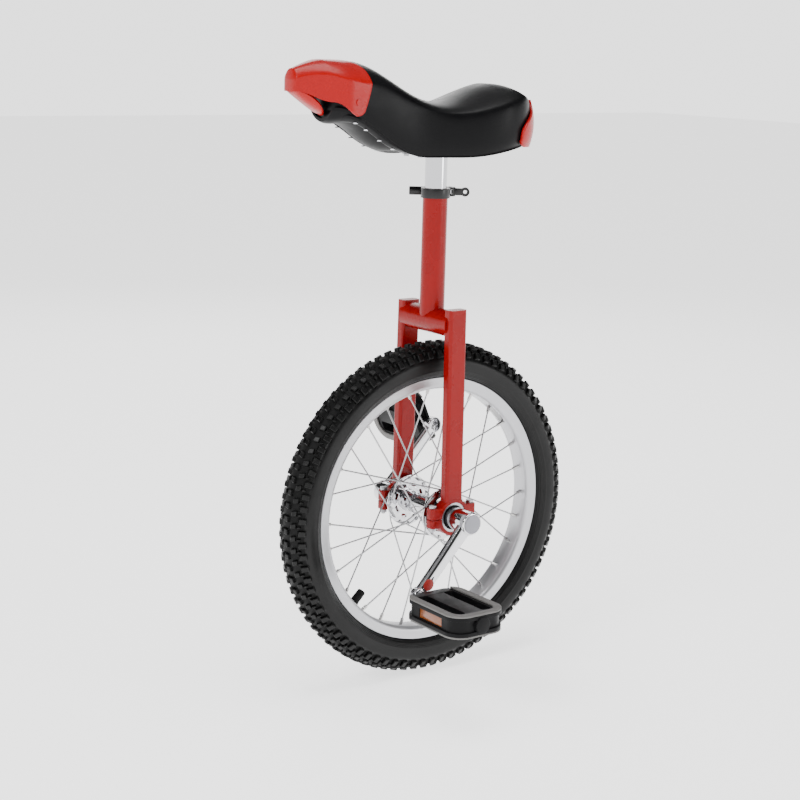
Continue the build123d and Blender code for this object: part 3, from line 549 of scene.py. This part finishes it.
# %% Valve cap
cap_low, cap_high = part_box("valve_cap")
cap_middle = (cap_low + cap_high) / 2
outward = (cap_middle - AXLE).normalized()
bm = bmesh.new()
cap_rows = [(0.0, 0.0), (3.4, 0.0), (4.4, 0.7), (4.8, 2.0),
            (5.0, 15.0), (5.6, 15.6), (5.6, 16.8), (3.9, 16.8)]
cap_turn = Vector((0, 0, 1)).rotation_difference(outward).to_matrix().to_4x4()
cap_start = cap_middle - outward * 8.4 * MM


def cap_point(turn, row):
    radius, along = cap_rows[row]
    ridge = 1 + (0.035 * cos(turn * 14) if 2 < row < 5 else 0)
    return Vector((radius * ridge * cos(turn) * MM, radius * ridge * sin(turn) * MM, along * MM))


skin(bm, 84, len(cap_rows), cap_point)
bmesh.ops.transform(bm, matrix=Matrix.Translation(cap_start) @ cap_turn, verts=bm.verts)
valve_cap = finish(bm, "valve_cap_finished", "wheel", finishes["black_rubber"])
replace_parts(valve_cap, "valve_cap")

# %% [markdown]
# ## Metalwork
# The forged, pressed and machined pieces have the right shape already, but razor edges. Each
# gets a copy with a small round on every edge: larger on castings and forgings, smaller on nuts.

# %% Round the edges of the metal parts
ROUNDS = {
    "bearing_holder_left": 1.0, "bearing_holder_right": 1.0,
    "bearing_cap_left": 1.0, "bearing_cap_right": 1.0,
    "holder_bolts": 0.35, "holder_nuts": 0.35, "crank_nuts": 0.4, "pedal_cones": 0.3, "saddle_nuts": 0.4,
    "seat_clamp_collar": 0.7, "clamp_lever": 0.9, "clamp_barrel_nut": 0.8, "clamp_skewer": 0.2,
    "clamp_pivot_pin": 0.3, "hub_flange_left": 0.4, "hub_flange_right": 0.4, "seatpost_bracket": 0.6,
    "dust_caps": 0.9, "pedal_cap_left": 0.7, "pedal_cap_right": 0.7,
    "pedal_body_left": 1.0, "pedal_body_right": 1.0, "pedal_treads_left": 0.6, "pedal_treads_right": 0.6,
    "pedal_reflectors_left": 0.5, "pedal_reflectors_right": 0.5,
    "pedal_spindle_left": 0.3, "pedal_spindle_right": 0.3,
}
for node, width in ROUNDS.items():
    softened(node, width * MM, finishes[slots[node]], segments=3 if width > 0.9 else 2)

# %% Cranks: a domed arm between two turned ends
def crank(side, label):
    joint = next(j for j in frame["joints"] if j["name"] == f"pedal_{label}_spin")
    low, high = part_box(f"crank_{label}")
    reach = Vector(joint["pos_m"]) - AXLE
    reach.y = 0
    inside, outside = (low.y, high.y) if side > 0 else (-high.y, -low.y)
    face, back = outside - 2.0 * MM, outside - 13.0 * MM
    along, length = reach.normalized(), reach.length
    across = Vector((-along.z, 0, along.x))

    def arm_point(turn, row):
        share = row / 11
        half = (10.0 - 2.6 * share - 0.9 * sin(pi * share)) * MM
        w, t = cos(turn), sin(turn)
        wide = half * abs(w) ** 0.75 * (1 if w > 0 else -1)
        deep = abs(t) ** (0.95 if t > 0 else 0.45) * (1 if t > 0 else -1)
        y = (face + back) / 2 + (face - back) / 2 * deep
        return AXLE + along * length * share + across * wide + Vector((0, side * y, 0))

    def end_point(centre, radius, start, stop, edge):
        rows = [(0.0, start), (radius - edge, start), (radius - 0.3 * edge, start + 0.3 * edge),
                (radius, start + edge), (radius, stop - edge), (radius - 0.3 * edge, stop - 0.3 * edge),
                (radius - edge, stop), (0.0, stop)]
        return lambda turn, row: AXLE + centre + Vector((rows[row][0] * cos(turn), side * rows[row][1],
                                                         rows[row][0] * sin(turn)))

    for name, rows, point in (
            ("arm", 12, arm_point),
            ("root", 8, end_point(Vector(), 13.2 * MM, inside, outside, 1.4 * MM)),
            ("eye", 8, end_point(reach, 9.8 * MM, back, face, 1.6 * MM))):
        bm = bmesh.new()
        skin(bm, 64, rows, point)
        piece = finish(bm, f"crank_{label}_{name}", "wheel", finishes["chrome"], sharp=50)
        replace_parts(piece, f"crank_{label}")


crank(1, "left")
crank(-1, "right")

# %% A plain round sticker near the end of the left crank
sticker_finish = base_finish("sticker", (0.40, 0.02, 0.015), 0.3, depth=0.004)
crank_end = Vector(next(j for j in frame["joints"] if j["name"] == "pedal_left_spin")["pos_m"])
crank_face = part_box("crank_left")[1].y - 1.9 * MM
spot = AXLE.lerp(crank_end, 0.84) + Vector((1.0 * MM, 0, 0.6 * MM))
bm = bmesh.new()
skin(bm, 40, 4, lambda turn, row: Vector((
    spot.x + (0, 7.0, 7.0, 0)[row] * MM * cos(turn),
    crank_face + (0.5, 0.1, -0.1, 0.0)[row] * MM,
    spot.z + (0, 7.0, 7.0, 0)[row] * MM * sin(turn))))
finish(bm, "crank_sticker", "wheel", sticker_finish)

# %% [markdown]
# ## Saddle
# A unicycle saddle is a stiff plastic base, a block of foam and a vinyl cover pulled over both
# and stapled underneath. Seen from above it is an oval, wide at the tail; seen from the side it
# is a deep curve. We describe those two views as functions, pull a ring of vertices through
# them from the stapled edge to the spine, and let a subdivision surface smooth the result.

# %% The saddle's lines, in millimetres from the axle
cover_low, cover_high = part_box("saddle_cover")
TAIL, NOSE = cover_low.x / MM, cover_high.x / MM
CROWN = (cover_high.z - AXLE.z) / MM
TAIL_RADIUS = (cover_high.y - cover_low.y) / 2 / MM
TAIL_CENTRE = TAIL + TAIL_RADIUS
WAIST = 37.0
DIP, DIP_X = CROWN - 43.5, 10.0
REAR, REAR_X = CROWN - 21.5, -80.0
CROWN_X = 132.0
SKIRT = 414.0
NOSE_SKIRT = 464.0
NOSE_CENTRE = NOSE - 34.0


def half_width(x):
    if x < TAIL_CENTRE:
        return sqrt(max(TAIL_RADIUS ** 2 - (x - TAIL_CENTRE) ** 2, 0.0))
    if x < 60:
        return ease(x, TAIL_CENTRE, TAIL_RADIUS, 60, WAIST)
    if x < NOSE_CENTRE:
        return WAIST
    return WAIST * sqrt(max(1 - ((x - NOSE_CENTRE) / (NOSE - NOSE_CENTRE)) ** 2, 0.0))


def top_line(x):
    if x < REAR_X:
        return ease(x, TAIL - 20, REAR - 24, REAR_X, REAR)
    if x < DIP_X:
        return ease(x, REAR_X, REAR, DIP_X, DIP)
    return ease(x, DIP_X, DIP, CROWN_X, CROWN) - ease(x, CROWN_X, 0, NOSE + 20, 12)


def crease_line(x):
    crown = ease(x, DIP_X, 11, CROWN_X, 20) if x > DIP_X else ease(x, REAR_X, 20, DIP_X, 11)
    return top_line(x) - crown * ease(x, TAIL - 4, 0.45, TAIL_CENTRE + 10, 1.0)


def skirt_line(x):
    if x < 0:
        return ease(x, TAIL, SKIRT + 14, 0, SKIRT)
    return ease(x, 40, SKIRT, NOSE, NOSE_SKIRT)


def belly_line(x):
    if x < 30:
        return skirt_line(x) + ease(x, TAIL, 2, -60, 12)
    return skirt_line(x) + ease(x, 30, 12, 100, -12)


# %% The cover's surface
SPINE_TAIL, SPINE_NOSE = TAIL_CENTRE - 6, NOSE_CENTRE - 4


def outline(turn, inset=0.0):
    """The saddle seen from above: a point of its edge, drawn in by an inset."""
    length = (1 + cos(turn)) / 2
    x = TAIL + inset + (NOSE - TAIL - 2 * inset) * length
    y = max(half_width(min(max(x, TAIL + 0.01), NOSE - 0.01)) - inset * abs(sin(turn)), 0.0)
    return x, y if sin(turn) >= 0 else -y


def dome(x, y, edge_y):
    """Height of the top: a flat arch from the crease up to the spine's line."""
    out = min(abs(y) / max(abs(edge_y), 1.0), 1.0)
    return crease_line(x) + (top_line(x) - crease_line(x)) * (1 - out ** 2.0)


ROWS = [("under", 0.30), ("under", 0.12), ("under", 0.03), ("side", 0.0), ("side", 0.04), ("side", 0.14),
        ("side", 0.30), ("side", 0.46), ("side", 0.62), ("side", 0.78), ("side", 0.90), ("side", 0.97),
        ("top", 0.05), ("top", 0.09), ("top", 0.15), ("top", 0.24), ("top", 0.38), ("top", 0.54),
        ("top", 0.70), ("top", 0.85), ("top", 1.0)]


def saddle_point(turn, row, inset=0.0):
    kind, share = ROWS[row]
    x, y = outline(turn, inset)
    spine = min(max(x, SPINE_TAIL), SPINE_NOSE)
    low, crease = skirt_line(x) + inset, crease_line(x) - inset
    if kind == "under":
        px, py = x + (spine - x) * share, y * (1 - share)
        across = min(abs(py) / max(half_width(min(max(px, TAIL + 1), NOSE - 1)), 1), 1)
        z = belly_line(px) + (skirt_line(px) - belly_line(px)) * across ** 2 - 1.3 + inset
        return Vector((px * MM, py * MM, AXLE.z + z * MM))
    if kind == "side":
        bulge = 1.6 * sin(pi * share) - 2.0 * max(0.0, 0.12 - share) / 0.12 - 1.2 * (1 - share)
        scale = 1 + bulge / 40 - 0.04 * max(0.0, (share - 0.84) / 0.16) ** 2
        z = low + (crease - low) * share
        return Vector((spine * MM + (x - spine) * scale * MM, y * scale * MM, AXLE.z + z * MM))
    px, py = x + (spine - x) * share, y * (1 - share)
    if abs(x - spine) < 0.01:
        z = dome(px, py, y)
    else:
        out = 1 - share
        z = crease_line(x) * out ** 2 + top_line(px) * (1 - out ** 2)
    z -= 1.8 * max(0.0, 1 - share / 0.24) ** 2
    return Vector((px * MM, py * MM, AXLE.z + (z - inset) * MM))


bm = bmesh.new()
skin(bm, 120, len(ROWS), saddle_point)
cover = finish(bm, "saddle_cover_finished", "seat", finishes["black_vinyl"], sharp=80)
thickness = cover.modifiers.new("wall", "SOLIDIFY")
thickness.thickness = 1.2 * MM
thickness.offset = -1
smooth = cover.modifiers.new("smooth", "SUBSURF")
smooth.levels = smooth.render_levels = 1
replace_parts(cover, "saddle_cover")

# %% The foam inside it
UNDER_ROWS = sum(kind == "under" for kind, share in ROWS)
FOAM_INSET = 3.4
bm = bmesh.new()
skin(bm, 80, len(ROWS) - UNDER_ROWS, lambda turn, row: saddle_point(turn, row + UNDER_ROWS, FOAM_INSET))
foam = finish(bm, "saddle_foam_finished", "seat", finishes["foam"], sharp=80)
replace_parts(foam, "saddle_foam")

# %% [markdown]
# ## Bumpers
# The two red pieces are glossy mouldings that save the saddle when it falls. Both follow the
# saddle's own lines, a wall's thickness outside it: the front one caps the nose and turns under
# into a handle, and the rear one is a crescent round the tail.

# %% Front bumper: its shell
TIP = cad_high.x / MM
BUMP = 3.2
REAR_EDGE = 118.0
SHOULDER_X = 164.0
FRONT_LOW = 484.0
TOP_SHARE = 0.46


def bumper_half(x):
    return ease(x, 142, WAIST + BUMP, TIP + 6, 0.30 * WAIST)


def bumper_top(x):
    drop = 8.5 * max(0.0, (x - SHOULDER_X) / 28) ** 1.25
    return ease(x, REAR_EDGE, CROWN + 0.6, SHOULDER_X, CROWN + 1.0) - drop


def bumper_rear(across):
    """Where the shell starts: swept back from its top to the sides, with round corners."""
    if across <= TOP_SHARE:
        return 146 - 27 * sin(pi / 2 * across / TOP_SHARE)
    down = (across - TOP_SHARE) / (1 - TOP_SHARE)
    return REAR_EDGE + 1 + 11 * down ** 1.3 + 7 * max(0.0, (down - 0.8) / 0.2) ** 2


def bumper_point(u, v):
    """u runs from the rear edge round the tip, and v from the left lower edge over to the right."""
    across = 2 * v - 1
    sign = 1 if across > 0 else -1
    across = abs(across)
    rear, front = bumper_rear(across), TIP - 4.0
    close = min(max((u - 0.82) / 0.18, 0.0), 1.0)
    x = rear + (front - rear) * min(u / 0.82, 1.0) ** 0.9
    half, top = bumper_half(x), bumper_top(x)
    crease = top - ease(x, REAR_EDGE, 24, TIP, 9)
    low = ease(x, 130, 457.5, SHOULDER_X, 474)
    if x >= SHOULDER_X:
        low = ease(x, SHOULDER_X, 474, TIP - 4, FRONT_LOW)
    if across <= TOP_SHARE:
        side = across / TOP_SHARE
        y, z = half * side, crease + (top - crease) * (1 - side ** 2.6)
    else:
        down = (across - TOP_SHARE) / (1 - TOP_SHARE)
        y, z = half, crease + (low - crease) * down
    turn = pi / 2 * close
    x += 3.4 * sin(turn) - 0.2 * max(0.0, z - 496) * sin(turn)
    return Vector((x * MM, sign * y * max(cos(turn), 0.0) ** 0.6 * MM, AXLE.z + z * MM))


bm = bmesh.new()
sheet(bm, 44, 72, bumper_point)
bumper = finish(bm, "front_bumper_finished", "seat", finishes["red_plastic"], sharp=60)
thicken(bumper, 2.4)
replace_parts(bumper, "front_bumper")


# %% The handle under its tip: a tongue with raised sides
def tongue_point(u, v):
    across = 2 * v - 1
    end = 1 - max(0.0, (u - 0.7) / 0.3) ** 2.2 * 0.72
    half = (10.5 + 5.5 * sin(pi * min(u * 1.25, 1.0) / 2)) * end
    x, z = TIP - 4 - 38 * u, 484.5 - 25 * u ** 0.85
    lift = (7 * sin(pi * u) + 2) * abs(across) ** 3
    return Vector(((x + 0.4 * lift) * MM, across * half * MM, AXLE.z + (z + lift) * MM))


bm = bmesh.new()
sheet(bm, 26, 22, tongue_point)
tongue = finish(bm, "front_bumper_handle", "seat", finishes["red_plastic"], sharp=60)
thicken(tongue, 2.6, side=0)
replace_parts(tongue, "front_bumper")


# %% Rear bumper: a crescent that reaches further round at its foot
def crescent_point(u, v):
    reach = ease(v, 0.3, 72, 1.0, 38) - 8 * max(0.0, (0.12 - v) / 0.12) ** 2
    angle = radians((2 * u - 1) * reach)
    rise = sin(pi * min(max(v, 0.02), 0.98)) ** 0.7
    radius = TAIL_RADIUS + 1.2 + 5.2 * rise - 0.6 * abs(2 * u - 1) ** 3
    z = 425.5 + 54 * v - 3.0 * cos(angle)
    return Vector(((TAIL_CENTRE - radius * cos(angle)) * MM, radius * sin(angle) * MM, AXLE.z + z * MM))


bm = bmesh.new()
sheet(bm, 48, 20, crescent_point)
crescent = finish(bm, "rear_bumper_finished", "seat", finishes["red_plastic"], sharp=60)
thicken(crescent, 3.4)
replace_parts(crescent, "rear_bumper")
